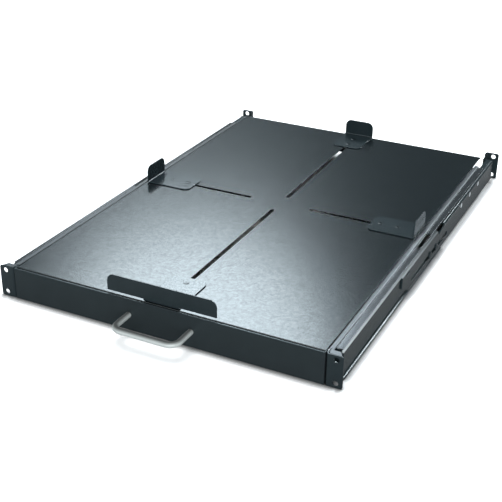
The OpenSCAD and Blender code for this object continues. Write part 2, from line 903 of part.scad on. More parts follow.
// What is cut from one side of a stop: rounded corners, and the space beside a narrow base.
module stop_waste(base_len, upright_w, gap) {
  translate([-stop_t - overrun, -upright_w / 2, stop_h]) rotate([90, 0, 90])
    linear_extrude(stop_t + 2 * overrun) mirror([0, 1, 0]) corner_waste(stop_corner_r);
  translate([-base_len, -stop_base_w / 2, -overrun])
    linear_extrude(stop_t + 2 * overrun) corner_waste(stop_corner_r);
  if (gap > 0) {
    side_w = (upright_w - stop_base_w) / 2;
    translate([-base_len - overrun, -upright_w / 2 - overrun, -overrun])
      cube([base_len + 2 * overrun, side_w + overrun, gap + overrun]);
    translate([-base_len - overrun, -upright_w / 2 - overrun, -overrun])
      cube([base_len + overrun - stop_t, side_w + overrun, stop_h]);
  }
}

// The two studs of a stop, with low heads on the base and shanks through the slot.
module stud_shape(base_len) {
  depth = clamp_depth + clamp_t + thumb_nut_h + stud_tail;
  for (i = [0, 1]) {
    translate([stud_inset + i * stud_pitch - base_len, 0, 0]) {
      translate([0, 0, stop_t]) cylinder(h = stud_head_h, d = stud_head_d);
      translate([0, 0, -depth]) cylinder(h = depth + stop_t, d = stud_d);
    }
  }
}

// The plate that clamps a stop from under the deck.
module clamp_shape(base_len) {
  length = stud_pitch + 2 * clamp_over;
  difference() {
    translate([stud_inset - clamp_over - base_len, -clamp_w / 2, -clamp_depth - clamp_t])
      cube([length, clamp_w, clamp_t]);
    for (i = [0, 1]) {
      translate([stud_inset + i * stud_pitch - base_len, 0, -clamp_depth - clamp_t - overrun])
        cylinder(h = clamp_t + 2 * overrun, r = stud_d / 2 + shank_clear);
    }
  }
}

// The locking nut under the stud that is nearer the upright.
module lock_nut_shape(base_len) {
  translate([stud_inset + stud_pitch - base_len, 0, -clamp_depth - clamp_t - lock_nut_h])
    hex_nut(lock_nut_af, lock_nut_h, stud_d + 2 * shank_clear);
}

// The notched thumb nut under the other stud.
module thumb_nut_shape(base_len) {
  translate([stud_inset - base_len, 0, -clamp_depth - clamp_t - glide_clear - thumb_nut_h])
    difference() {
      cylinder(h = thumb_nut_h, d = thumb_nut_d);
      translate([0, 0, -overrun]) cylinder(h = thumb_nut_h + 2 * overrun, r = stud_d / 2 + thumb_play);
      for (i = [0 : thumb_notch_count - 1]) {
        rotate([0, 0, i * 360 / thumb_notch_count]) translate([thumb_nut_d / 2, 0, -overrun])
          cylinder(h = thumb_nut_h + 2 * overrun, d = thumb_notch_d, $fn = 16);
      }
    }
}

// The four places of a stop: upright outwards, lower face just above the deck.
module at_right() {
  translate([side_stop_face, slot_cross_y, deck_top + glide_clear]) children();
}
module at_left() {
  translate([-side_stop_face, slot_cross_y, deck_top + glide_clear]) rotate([0, 0, 180]) children();
}
module at_rear() {
  translate([0, rear_stop_face, deck_top + glide_clear]) rotate([0, 0, 90]) children();
}
module at_front() {
  translate([0, front_stop_face, deck_top + glide_clear]) rotate([0, 0, -90]) children();
}

module left_front_bracket() { to_left() front_bracket(); }
module right_front_bracket() { front_bracket(); }
module left_rear_bracket() { to_left() rear_bracket(); }
module right_rear_bracket() { rear_bracket(); }
module left_side_rail() { to_left() side_rail(); }
module right_side_rail() { side_rail(); }
module left_slide_outer() { to_left() slide_outer(); }
module right_slide_outer() { slide_outer(); }
module left_slide_middle() { to_left() slide_middle(); }
module right_slide_middle() { slide_middle(); }
module left_slide_inner() { to_left() slide_inner(); }
module right_slide_inner() { slide_inner(); }
module left_outer_cage() { to_left() outer_cage(); }
module right_outer_cage() { outer_cage(); }
module left_outer_balls() { to_left() outer_balls(); }
module right_outer_balls() { outer_balls(); }
module left_inner_cage() { to_left() inner_cage(); }
module right_inner_cage() { inner_cage(); }
module left_inner_balls() { to_left() inner_balls(); }
module right_inner_balls() { inner_balls(); }
module left_tray_side() { to_left() tray_side(); }
module right_tray_side() { tray_side(); }

module front_stop() { color(paint) at_front() stop_shape(front_stop_len, front_stop_w, wing_gap); }
module rear_stop() { color(paint) at_rear() stop_shape(rear_stop_len, stop_base_w, 0); }
module left_stop() { color(paint) at_left() stop_shape(side_stop_len, stop_base_w, 0); }
module right_stop() { color(paint) at_right() stop_shape(side_stop_len, stop_base_w, 0); }
module front_stop_studs() { color(paint) at_front() stud_shape(front_stop_len); }
module rear_stop_studs() { color(paint) at_rear() stud_shape(rear_stop_len); }
module left_stop_studs() { color(paint) at_left() stud_shape(side_stop_len); }
module right_stop_studs() { color(paint) at_right() stud_shape(side_stop_len); }
module front_clamp_plate() { color(zinc) at_front() clamp_shape(front_stop_len); }
module rear_clamp_plate() { color(zinc) at_rear() clamp_shape(rear_stop_len); }
module left_clamp_plate() { color(zinc) at_left() clamp_shape(side_stop_len); }
module right_clamp_plate() { color(zinc) at_right() clamp_shape(side_stop_len); }
module front_lock_nut() { color(zinc) at_front() lock_nut_shape(front_stop_len); }
module rear_lock_nut() { color(zinc) at_rear() lock_nut_shape(rear_stop_len); }
module left_lock_nut() { color(zinc) at_left() lock_nut_shape(side_stop_len); }
module right_lock_nut() { color(zinc) at_right() lock_nut_shape(side_stop_len); }
module front_thumb_nut() { color(rubber) at_front() thumb_nut_shape(front_stop_len); }
module rear_thumb_nut() { color(rubber) at_rear() thumb_nut_shape(rear_stop_len); }
module left_thumb_nut() { color(rubber) at_left() thumb_nut_shape(side_stop_len); }
module right_thumb_nut() { color(rubber) at_right() thumb_nut_shape(side_stop_len); }

left_front_bracket();
right_front_bracket();
left_rear_bracket();
right_rear_bracket();
left_side_rail();
right_side_rail();
rail_rivets();
clamp_bolts();
clamp_nuts();
left_slide_outer();
right_slide_outer();
left_slide_middle();
right_slide_middle();
left_slide_inner();
right_slide_inner();
slide_bumpers();
slide_rivets();
left_outer_cage();
right_outer_cage();
left_outer_balls();
right_outer_balls();
left_inner_cage();
right_inner_cage();
left_inner_balls();
right_inner_balls();
tray_deck();
left_tray_side();
right_tray_side();
front_panel();
panel_studs();
panel_nuts();
handle();
handle_screws();
front_stop();
front_stop_studs();
front_clamp_plate();
front_lock_nut();
front_thumb_nut();
rear_stop();
rear_stop_studs();
rear_clamp_plate();
rear_lock_nut();
rear_thumb_nut();
left_stop();
left_stop_studs();
left_clamp_plate();
left_lock_nut();
left_thumb_nut();
right_stop();
right_stop_studs();
right_clamp_plate();
right_lock_nut();
right_thumb_nut();
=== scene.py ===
"""Dresses the sliding rack shelf: finished sheet metal, fasteners, paints and a plain stage."""

import json
from math import atan2, cos, radians, sin

import bpy
from mathutils import Matrix, Vector


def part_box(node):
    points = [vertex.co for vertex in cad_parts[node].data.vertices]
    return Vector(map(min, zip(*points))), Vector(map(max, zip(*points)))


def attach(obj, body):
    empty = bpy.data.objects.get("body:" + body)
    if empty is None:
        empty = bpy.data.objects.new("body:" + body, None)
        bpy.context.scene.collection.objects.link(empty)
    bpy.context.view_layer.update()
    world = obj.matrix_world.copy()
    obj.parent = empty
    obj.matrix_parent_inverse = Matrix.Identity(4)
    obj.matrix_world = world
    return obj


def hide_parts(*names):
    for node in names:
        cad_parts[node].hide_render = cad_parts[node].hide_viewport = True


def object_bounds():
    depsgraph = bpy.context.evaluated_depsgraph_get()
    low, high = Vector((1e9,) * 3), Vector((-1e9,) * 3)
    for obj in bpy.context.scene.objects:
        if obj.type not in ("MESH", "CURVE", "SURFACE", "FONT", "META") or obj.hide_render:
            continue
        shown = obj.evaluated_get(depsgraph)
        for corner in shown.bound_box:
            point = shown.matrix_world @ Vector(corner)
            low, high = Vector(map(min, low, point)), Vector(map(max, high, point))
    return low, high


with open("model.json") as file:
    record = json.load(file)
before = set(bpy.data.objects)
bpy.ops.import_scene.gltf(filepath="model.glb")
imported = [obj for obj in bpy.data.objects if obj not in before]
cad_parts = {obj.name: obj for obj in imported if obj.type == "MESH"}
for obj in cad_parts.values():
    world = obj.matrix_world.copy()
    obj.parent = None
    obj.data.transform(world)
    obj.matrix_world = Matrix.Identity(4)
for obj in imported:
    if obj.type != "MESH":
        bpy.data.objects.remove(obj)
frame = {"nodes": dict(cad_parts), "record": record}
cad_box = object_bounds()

bl_info = {
    "name": "Sliding rack shelf",
    "version": (1, 0, 0),
    "blender": (4, 5, 0),
    "location": "View3D > Sidebar > Rack shelf",
    "description": "Finishes the pieces of a sliding rack shelf and sets it on a plain stage",
    "category": "Object",
}

MM = 0.001
STOPS = ("front", "rear", "left", "right")
HANDS = ("left", "right")

# Tolerances and counts that many pieces share

MERGED = 0.001 * MM
HAIR = 0.01 * MM
OVERRUN = 1.0 * MM
ROUND = 32
FINE_ROUND = 40
SMOOTH_ROUND = 48
BEND_STEPS = 12
FACETS_PER_RIB = 4
FLAT_DEGREES = 0.4
SHARP_DEGREES = 50.0

# Threads, sockets and shanks by their radius, and nuts by their flats, height and bore's radius

STUD_THREAD = 2.5 * MM
BOLT_THREAD = 2.95 * MM
SCREW_THREAD = 2.0 * MM
THREAD_TIP = 0.3 * MM
BOLT_TIP = 0.4 * MM
STUD_BORE = 2.55 * MM
LOCK_NUT = (8 * MM, 4 * MM, STUD_BORE)
CLAMP_NUT = (10 * MM, 4 * MM, 3.0 * MM)
PANEL_NUT = (7 * MM, 3.2 * MM, 2.05 * MM)
NUT_DROP_SHARE = 0.6
NUT_FACE_SHARE = 0.96
BORE_FLARE = 0.6 * MM
BORE_CHAMFER = 0.4 * MM
BORE_MOUTH = 0.2 * MM
STUD_SOCKET = 1.45 * MM
STUD_SOCKET_DEPTH = 0.45 * MM
BOLT_SOCKET = 2.3 * MM
BOLT_SOCKET_DEPTH = 1.1 * MM
CROSS_REACH = 2.6 * MM
CROSS_DEPTH = 1.3 * MM
CROSS_WIDTH_SHARE = 0.25
RIVET_SHANK = 2.0 * MM
RIBBED = 1.1 * MM

# Outlines of heads and edges, as (inset from the rim, rise above the seat) in millimetres

STUD_HEAD = ((0.1, 0.0), (0.0, 0.1), (0.05, 0.35), (0.5, 0.56), (1.4, 0.66), (2.4, 0.7))
BOLT_HEAD = ((0.2, 0.0), (0.0, 0.2), (0.0, 0.9), (0.4, 1.4), (1.1, 1.6))
SCREW_HEAD = ((0.2, 0.0), (0.0, 0.3), (0.2, 1.2), (0.9, 2.0), (2.2, 2.4))
COLLAR = ((0.2, 0.0), (0.0, 0.15), (0.0, 1.55), (0.2, 1.7))
RIVET_TIP = ((0.4, 0.0), (0.0, 0.3))
HOLLOW_HEAD = ((0.2, 0.0), (0.0, 0.25), (0.4, 0.8), (1.3, 1.2), (2.4, 1.4), (2.7, 1.3), (2.9, 0.5))
DOMED_HEAD = ((0.1, 0.0), (0.0, 0.2), (0.6, 0.9), (1.6, 1.28), (2.6, 1.4))
CLOSED_HEAD = ((0.1, 0.0), (0.0, 0.2), (0.3, 0.7), (0.9, 1.15), (2.3, 1.4), (2.6, 1.3))
GRIP_EDGE = ((1.0, 0.0), (0.25, 0.3), (0.0, 0.9))
GRIP_TOP = (*reversed(GRIP_EDGE), (2.6, 0.0), (2.9, 0.5), (4.2, 0.5), (4.3, 0.2))

# Where the brackets get painted highlights in the colour of bare steel, and where the paint of the
# rails is dull

BEND_OUTSIDE = 231.9 * MM
BEND_FOOT = 15.2 * MM
BEND_FRONT = 3 * MM
BEND_REAR = 404 * MM
HIGHLIGHT_AT_FRONT = 0.96
HIGHLIGHT_LOSS = 2.1
HOLES = (599.0 * MM, 550.5 * MM, 502.0 * MM)
HOLE_HEIGHT = 8.6 * MM
HOLE_REACH = 3.9 * MM
RAIL_TOP = 20.8 * MM

# Where the handle's colour turns dark towards the sky, a painted shade

ROD_SHADE_FOOT = 1.5 * MM
ROD_SHADE_RISE = 2.5 * MM


# Settings

def length_setting(name, description, default, least=0.0):
    """A length that the user can change."""
    return bpy.props.FloatProperty(
        name=name, description=description, default=default, min=least, unit="LENGTH"
    )


def level_setting(name, description, default):
    """A strength or brightness that the user can change."""
    return bpy.props.FloatProperty(name=name, description=description, default=default, min=0.0)


def angle_setting(name, description, degrees):
    """An angle that the user can change."""
    return bpy.props.FloatProperty(
        name=name, description=description, default=radians(degrees), subtype="ANGLE"
    )


def colour_setting(name, description, default):
    """A colour that the user can change."""
    return bpy.props.FloatVectorProperty(
        name=name, description=description, default=default, subtype="COLOR", min=0.0, max=1.0
    )


def way_setting(name, description, default):
    """A direction that the user can change."""
    return bpy.props.FloatVectorProperty(
        name=name, description=description, default=default, subtype="DIRECTION"
    )


class ShelfSizes(bpy.types.PropertyGroup):
    """Sizes of the details that the finished pieces add."""

    sheet_edge: length_setting(
        "Sheet edge", "Rounding of the cut edges of the painted sheets", 0.3 * MM
    )
    slide_edge: length_setting(
        "Slide edge", "Rounding of the edges of the slide members", 0.15 * MM
    )
    panel_edge: length_setting(
        "Panel edge", "Rounding of the front panel's edges", 0.45 * MM
    )
    bumper_edge: length_setting(
        "Bumper edge", "Rounding of the rubber bumpers", 0.9 * MM
    )
    handle_bend: length_setting(
        "Handle bend", "Radius of the handle's two bends, along the middle of the rod", 13 * MM
    )
    handle_chamfer: length_setting(
        "Handle chamfer", "Chamfer of the ends of the handle's rod", 0.4 * MM
    )
    thread_pitch: length_setting(
        "Thread pitch", "Distance between two ridges of a thread", 0.8 * MM, 0.1 * MM
    )
    thread_depth: length_setting(
        "Thread depth", "Depth of the thread's grooves", 0.35 * MM
    )
    grip_depth: length_setting(
        "Grip depth", "Depth of the hollows between a thumb nut's ribs", 0.7 * MM
    )
    grip_ribs: bpy.props.IntProperty(
        name="Grip ribs", description="Number of ribs round a thumb nut", default=24, min=8
    )


class ShelfColours(bpy.types.PropertyGroup):
    """Colours of the finishes."""

    deck: colour_setting(
        "Deck paint", "Fine textured paint of the tray, stops and brackets", (0.009, 0.0135, 0.0155)
    )
    rail: colour_setting(
        "Rail paint", "Metallic black paint of the side rails", (0.145, 0.153, 0.162)
    )
    trim: colour_setting(
        "Trim paint", "Smooth paint of the front panel", (0.028, 0.037, 0.041)
    )
    # This colour is laid on the brackets as painted highlights.
    painted_highlight: colour_setting(
        "Bare steel", "Steel where the paint of the brackets is rubbed off", (0.8, 0.85, 0.88)
    )
    zinc: colour_setting(
        "Zinc", "Zinc plate of the slides and fasteners", (0.56, 0.58, 0.60)
    )
    rod: colour_setting(
        "Handle rod", "Satin metal of the handle", (0.82, 0.88, 0.87)
    )
    ball: colour_setting(
        "Ball steel", "Polished steel of the balls", (0.72, 0.73, 0.74)
    )
    rubber: colour_setting(
        "Rubber", "Black rubber and moulded grips", (0.020, 0.021, 0.022)
    )


class ShelfStage(bpy.types.PropertyGroup):
    """Light, floor and camera. An azimuth runs from the rear towards the right."""

    floor_z: bpy.props.FloatProperty(
        name="Floor height",
        description="Height of the floor that the shelf lies on",
        default=cad_box[0].z,
        unit="LENGTH",
    )
    floor_middle: length_setting(
        "Floor middle", "How far behind the front ears the floor's middle lies", 0.35
    )
    floor_size: length_setting(
        "Floor size", "Length of each side of the floor", 16.0, 1.0
    )
    floor_white: level_setting(
        "Floor white", "Brightness of the floor as the camera sees it", 1.9
    )
    floor_plain: level_setting(
        "Floor light", "Brightness of the floor as it lights the shelf", 0.6
    )
    floor_mirrored: level_setting(
        "Floor mirrored", "Brightness of the floor in reflections", 0.3
    )
    contact_shade: length_setting(
        "Contact shade", "How far from the shelf the floor darkens", 13 * MM
    )

    key_strength: level_setting(
        "Key strength", "Strength of the light behind the shelf, to its left", 0.74
    )
    key_width: angle_setting("Key width", "Angle that the key light fills in the sky", 16.5)
    key_azimuth: angle_setting("Key azimuth", "Direction of the key light", -29.9)
    key_height: angle_setting("Key height", "Height of the key light above the horizon", 34.4)
    key_tint: colour_setting("Key tint", "Colour of the key light", (0.83, 0.94, 1.0))

    overhead_strength: level_setting(
        "Overhead strength", "Strength of the wide light overhead", 1.4
    )
    overhead_width: angle_setting(
        "Overhead width", "Angle that the overhead light fills in the sky", 46
    )
    overhead_azimuth: angle_setting(
        "Overhead azimuth", "Side to which the overhead light leans", -90
    )
    overhead_height: angle_setting(
        "Overhead height", "Height of the overhead light above the horizon", 78
    )
    overhead_tint: colour_setting(
        "Overhead tint", "Colour of the overhead light", (1.0, 1.0, 1.0)
    )

    rim_strength: level_setting(
        "Rim strength", "Strength of the low light behind the shelf", 1.4
    )
    rim_width: angle_setting("Rim width", "Angle that the rim light fills in the sky", 12)
    rim_azimuth: angle_setting("Rim azimuth", "Direction of the rim light", 7)
    rim_height: angle_setting("Rim height", "Height of the rim light above the horizon", 34)
    rim_tint: colour_setting("Rim tint", "Colour of the rim light", (0.88, 0.96, 1.0))

    fill_strength: level_setting(
        "Fill strength", "Strength of the low light in front", 2.1
    )
    fill_width: angle_setting("Fill width", "Angle that the fill light fills in the sky", 50)
    fill_azimuth: angle_setting("Fill azimuth", "Direction of the fill light", 150)
    fill_height: angle_setting("Fill height", "Height of the fill light above the horizon", 14)
    fill_tint: colour_setting("Fill tint", "Colour of the fill light", (1.0, 1.0, 1.0))

    world_strength: level_setting(
        "Surroundings", "Brightness of the studio round the shelf", 0.09
    )
    world_tint: colour_setting(
        "Surroundings tint", "Colour of the studio round the shelf", (0.66, 0.89, 1.0)
    )

    camera_place: bpy.props.FloatVectorProperty(
        name="Camera place",
        description="Where the camera stands",
        subtype="TRANSLATION",
        unit="LENGTH",
        default=(0.5618, -0.9063, 0.6363),
    )
    camera_forward: way_setting(
        "Camera direction", "Direction in which the camera looks", (-0.3889, 0.8035, -0.4507)
    )
    camera_up: way_setting(
        "Camera up", "Upward direction of the picture", (-0.2113, 0.3984, 0.8925)
    )
    lens: bpy.props.FloatProperty(
        name="Lens",
        description="Focal length of the camera on its sensor, in millimetres",
        default=72.29,
        min=1.0,
    )
    sensor: bpy.props.FloatProperty(
        name="Sensor",
        description="Width of the camera's sensor, in millimetres",
        default=36.0,
        min=1.0,
    )


# Shader maths

class Wire:
    """A shader socket on which sums and comparisons add the Math nodes."""

    def __init__(self, finish, socket):
        self.finish = finish
        self.socket = socket

    def __add__(self, other):
        return self.finish.maths("ADD", self, other)

    __radd__ = __add__

    def __mul__(self, other):
        return self.finish.maths("MULTIPLY", self, other)

    __rmul__ = __mul__

    def __sub__(self, other):
        return self.finish.maths("SUBTRACT", self, other)

    def __rsub__(self, other):
        return self.finish.maths("SUBTRACT", other, self)

    def __gt__(self, other):
        return self.finish.maths("GREATER_THAN", self, other)

    def __lt__(self, other):
        return self.finish.maths("LESS_THAN", self, other)

    def __abs__(self):
        return self.finish.maths("ABSOLUTE", self, 0.0)


class Finish:
    """A material in the making."""

    def __init__(self, name):
        self.material = bpy.data.materials.new("shelf_" + name)
        self.material.use_nodes = True
        self.tree = self.material.node_tree
        self.tree.nodes.clear()
        self.place = self.node("ShaderNodeTexCoord", output="Object")

    def node(self, kind, inputs=None, output=0, **settings):
        """Adds a node with its settings and inputs, and gives its output if it has one."""
        made = self.tree.nodes.new(kind)
        for key, value in settings.items():
            setattr(made, key, value)
        for key, value in (inputs or {}).items():
            if isinstance(value, Wire):
                self.tree.links.new(value.socket, made.inputs[key])
            else:
                made.inputs[key].default_value = value
        return Wire(self, made.outputs[output]) if len(made.outputs) else made

    def maths(self, operation, a, b):
        return self.node("ShaderNodeMath", {0: a, 1: b}, operation=operation)

    def along(self, axis):
        """Place on the object along one axis, in metres."""
        return self.node("ShaderNodeSeparateXYZ", {0: self.place}, output=axis)

    def noise(self, scale, detail=2.0, roughness=0.5, place=None):
        inputs = {
            "Vector": place or self.place,
            "Scale": scale,
            "Detail": detail,
            "Roughness": roughness,
        }
        return self.node("ShaderNodeTexNoise", inputs, output="Fac")

    def drawn_out(self, share):
        """Places drawn out along the depth, so that a grain becomes lines."""
        return self.node("ShaderNodeMapping", {"Vector": self.place, "Scale": (1.0, share, 1.0)})

    def blend(self, amount, a, b):
        inputs = {"Factor": amount, 6: a, 7: b}
        return self.node("ShaderNodeMix", inputs, output=2, data_type="RGBA")

    def shades(self, amount, colour, low, high):
        """One colour from a darker or lighter shade to another."""
        return self.blend(amount, opaque(colour, low), opaque(colour, high))

    def bump(self, height, strength, distance):
        inputs = {"Height": height, "Strength": strength, "Distance": distance}
        return self.node("ShaderNodeBump", inputs)

    def surface(self, **inputs):
        """Ends the material with a Principled shader."""
        named = {key.replace("_", " "): value for key, value in inputs.items()}
        shader = self.node("ShaderNodeBsdfPrincipled", named)
        self.node("ShaderNodeOutputMaterial", {"Surface": shader})
        return self.material


def opaque(colour, gain=1.0):
    return (*(channel * gain for channel in colour), 1.0)


def textured_paint(name="deck_paint", gain=1.0, rubbed=None):
    """Fine textured black paint, as on the tray: small close grains over a soft mottle."""
    finish = Finish(name)
    colours = bpy.context.scene.shelf_colours
    grain = finish.noise(1500.0, 2.0, 0.6)
    orange_peel = finish.noise(420.0, 2.0, 0.5)
    speckle = finish.noise(250.0, 3.0, 0.7)
    mottle = finish.noise(38.0, 3.0, 0.6)
    relief = grain * 0.3 + orange_peel * 0.7
    base = finish.shades(mottle, colours.deck, 0.8 * gain, 1.25 * gain)
    # The rubbed places are painted highlights in the bare-steel colour.
    if rubbed:
        base = finish.blend(rubbed(finish), base, opaque(colours.painted_highlight))
    return finish.surface(
        Base_Color=base,
        Roughness=0.16 + 0.04 * grain + 0.02 * mottle,
        Coat_Weight=0.72 * speckle - 0.19,
        Coat_Roughness=0.17,
        Specular_IOR_Level=0.38,
        Specular_Tint=(0.86, 0.95, 1.0, 1.0),
        Normal=finish.bump(relief, 0.8, 0.05 * MM),
    )


def bracket_paint():
    """The textured paint of the brackets and stops, a little greyer, with painted highlights in some
    places.
    """
    return textured_paint("bracket_paint", 2.5, painted_highlight_places)


def painted_highlight_places(finish):
    """Painted highlights in the colour of bare steel: along the upper bend of the front brackets,
    fading towards the rear, and on the walls of the holes.
    """
    x, y, z = (finish.along(axis) for axis in "XYZ")
    # Painted highlight along the bend, brightest at the front and fading towards the rear
    on_bend = (abs(x) > BEND_OUTSIDE) * (z > BEND_FOOT) * (y < BEND_REAR) * (y > BEND_FRONT)
    painted_highlight = on_bend * (HIGHLIGHT_AT_FRONT - HIGHLIGHT_LOSS * y)
    # Painted highlights on the walls of the holes
    across = z - HOLE_HEIGHT
    for hole in HOLES:
        ahead = y - hole
        painted_highlight = painted_highlight + (across * across + ahead * ahead < HOLE_REACH * HOLE_REACH)
    return painted_highlight


def smooth_paint():
    """Smooth black paint, with a slight orange peel and faint handling marks."""
    finish = Finish("trim_paint")
    peel = finish.noise(330.0, 2.0, 0.5)
    mottle = finish.noise(24.0, 3.0, 0.6)
    rubbed = finish.noise(9.0, 4.0, 0.65)
    return finish.surface(
        Base_Color=finish.shades(mottle, bpy.context.scene.shelf_colours.trim, 0.85, 1.2),
        Roughness=0.24 + 0.05 * peel + 0.05 * rubbed,
        Specular_IOR_Level=0.34,
        Specular_Tint=(0.74, 0.93, 1.0, 1.0),
        Normal=finish.bump(peel, 0.25, 0.04 * MM),
    )


def metallic_paint():
    """Black metallic paint of the side rails. The tray has rubbed the upper flange dull.

    The left rail has a painted shade: darker than the right, and more so towards the rear.
    """
    finish = Finish("rail_paint")
    colour = bpy.context.scene.shelf_colours.rail
    dull = finish.along("Z") > RAIL_TOP
    brushed = finish.noise(700.0, 2.0, 0.6, finish.drawn_out(0.03))
    mottle = finish.noise(24.0, 3.0, 0.6)
    rearward = finish.along("Y") * (1 / cad_box[1].y)
    right_shade = finish.shades(mottle, colour, 0.9, 1.1)
    # Painted shade: the left rail's colour darkened, more so towards the rear
    left_painted_shade = finish.shades(rearward, colour, 0.56, 0.16)
    return finish.surface(
        Base_Color=finish.blend(finish.along("X") < 0.0, right_shade, left_painted_shade),
        Metallic=0.95,
        Roughness=0.17 + 0.13 * dull + 0.06 * brushed + 0.04 * mottle,
        Normal=finish.bump(brushed, 0.2, 0.02 * MM),
    )


def zinc_plate():
    """Bright zinc plate with rolling lines along the strip and a faint cloudy tint."""
    finish = Finish("zinc_plate")
    red, green, blue = bpy.context.scene.shelf_colours.zinc
    lines = finish.noise(900.0, 2.0, 0.6, finish.drawn_out(0.02))
    cloud = finish.noise(30.0, 4.0, 0.6)
    grain = finish.noise(1200.0, 1.0, 0.5)
    warm = opaque((red * 1.02, green * 0.98, blue * 0.90))
    return finish.surface(
        Base_Color=finish.blend(cloud, opaque((red, green, blue), 1.05), warm),
        Metallic=1.0,
        Roughness=0.26 + 0.14 * lines + 0.10 * cloud,
        Normal=finish.bump(lines * 0.6 + grain * 0.4, 0.25, 0.03 * MM),
    )


def satin_rod():
    """Satin metal of the handle, worn by hands, with a painted shade darkening its upper side."""
    finish = Finish("satin_rod")
    colour = bpy.context.scene.shelf_colours.rod
    scratches = finish.noise(1600.0, 2.0, 0.6)
    cloud = finish.noise(60.0, 3.0, 0.6)
    # Painted shade: the colour darkens along the rod's upper side
    rise = (finish.along("Z") - ROD_SHADE_FOOT) * (1 / ROD_SHADE_RISE)
    rod_painted_shade = finish.maths("MINIMUM", finish.maths("MAXIMUM", rise, 0.0), 1.0)
    clean = finish.shades(cloud, colour, 0.94, 1.06)
    return finish.surface(
        Base_Color=finish.blend(rod_painted_shade, clean, opaque(colour, 0.12)),
        Metallic=0.2 - 0.2 * rod_painted_shade,
        Roughness=0.42 + 0.10 * scratches + 0.06 * cloud + 0.15 * rod_painted_shade,
        Normal=finish.bump(scratches, 0.25, 0.03 * MM),
    )


def ball_steel():
    """Polished steel of the balls, with a trace of grease."""
    finish = Finish("ball_steel")
    grease = finish.noise(260.0, 3.0, 0.6)
    return finish.surface(
        Base_Color=finish.shades(grease, bpy.context.scene.shelf_colours.ball, 0.85, 1.0),
        Metallic=1.0,
        Roughness=0.10 + 0.18 * grease,
        Normal=finish.bump(grease, 0.05, 0.02 * MM),
    )


def black_rubber():
    """Matt black rubber with a fine moulded grain."""
    finish = Finish("black_rubber")
    grain = finish.noise(1300.0, 3.0, 0.6)
    bloom = finish.noise(70.0, 3.0, 0.6)
    return finish.surface(
        Base_Color=finish.shades(bloom, bpy.context.scene.shelf_colours.rubber, 0.8, 1.5),
        Roughness=0.62 + 0.2 * bloom,
        Specular_IOR_Level=0.35,
        Normal=finish.bump(grain, 0.4, 0.06 * MM),
    )


# Each finish with its maker and its slot in the record

FINISHES = {
    "deck_paint": (textured_paint, "black_paint"),
    "rail_paint": (metallic_paint, "black_paint"),
    "bracket_paint": (bracket_paint, "black_gloss_paint"),
    "trim_paint": (smooth_paint, "black_gloss_paint"),
    "zinc_plate": (zinc_plate, "zinc_plate"),
    "satin_rod": (satin_rod, "satin_rod"),
    "ball_steel": (ball_steel, "bearing_steel"),
    "black_rubber": (black_rubber, "black_rubber"),
}


def material(name):
    """The material of that name, made when it is first asked for."""
    maker, _ = FINISHES[name]
    return bpy.data.materials.get("shelf_" + name) or maker()


# Modelling by hand

def deselect():
    bpy.ops.object.select_all(action="DESELECT")


def pick(piece):
    """Selects one object alone and makes it active."""
    deselect()
    piece.select_set(True)
    bpy.context.view_layer.objects.active = piece


def joined(pieces):
    """Joins the pieces to the first of them."""
    pick(pieces[0])
    for piece in pieces:
        piece.select_set(True)
    if len(pieces) > 1:
        bpy.ops.object.join()
    return pieces[0]


def body_of_node(node):
    bodies = frame["record"]["behaviour"]["bodies"]
    return next(body for body, nodes in bodies.items() if node in nodes)


def finished(piece, name, finish, node):
    """Names a piece, paints it and puts it in the place of the CAD node that it stands for."""
    piece.name = name
    piece.data.name = name
    piece.data.materials.clear()
    piece.data.materials.append(material(finish))
    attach(piece, body_of_node(node))
    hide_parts(node)


def kept(node, finish):
    """Gives its finish to a CAD node that stays."""
    for slot in frame["nodes"][node].material_slots:
        slot.link = "OBJECT"
        slot.material = material(finish)


def smoothed(piece, degrees=35.0):
    """Smooths a piece up to an angle, with its normals weighted by the size of the faces."""
    pick(piece)
    bpy.ops.object.shade_smooth_by_angle(angle=radians(degrees))
    weighted = piece.modifiers.new("weighted", "WEIGHTED_NORMAL")
    weighted.keep_sharp = True
    bpy.ops.object.modifier_apply(modifier=weighted.name)
    return piece


def traced(node):
    """A merged copy of a CAD node, with its flat faces made whole again."""
    piece = bpy.data.objects.new(node + "_copy", frame["nodes"][node].data.copy())
    bpy.context.scene.collection.objects.link(piece)
    pick(piece)
    if piece.data.has_custom_normals:
        bpy.ops.mesh.customdata_custom_splitnormals_clear()
    bpy.ops.object.mode_set(mode="EDIT")
    bpy.ops.mesh.select_all(action="SELECT")
    bpy.ops.mesh.remove_doubles(threshold=MERGED)
    bpy.ops.mesh.dissolve_limited(angle_limit=radians(FLAT_DEGREES))
    bpy.ops.object.mode_set(mode="OBJECT")
    return piece


def eased(piece, width, segments):
    """Rounds the sharp edges of a sheet."""
    pick(piece)
    bevel = piece.modifiers.new("eased", "BEVEL")
    bevel.width = width
    bevel.segments = segments
    bevel.limit_method = "ANGLE"
    bevel.angle_limit = radians(SHARP_DEGREES)
    bevel.use_clamp_overlap = False
    bpy.ops.object.modifier_apply(modifier=bevel.name)
    return smoothed(piece, SHARP_DEGREES)


def sheet_piece(node, finish, width, segments=2):
    """Makes a CAD sheet anew, with eased edges and its finish."""
    finished(eased(traced(node), width, segments), node + "_sheet", finish, node)


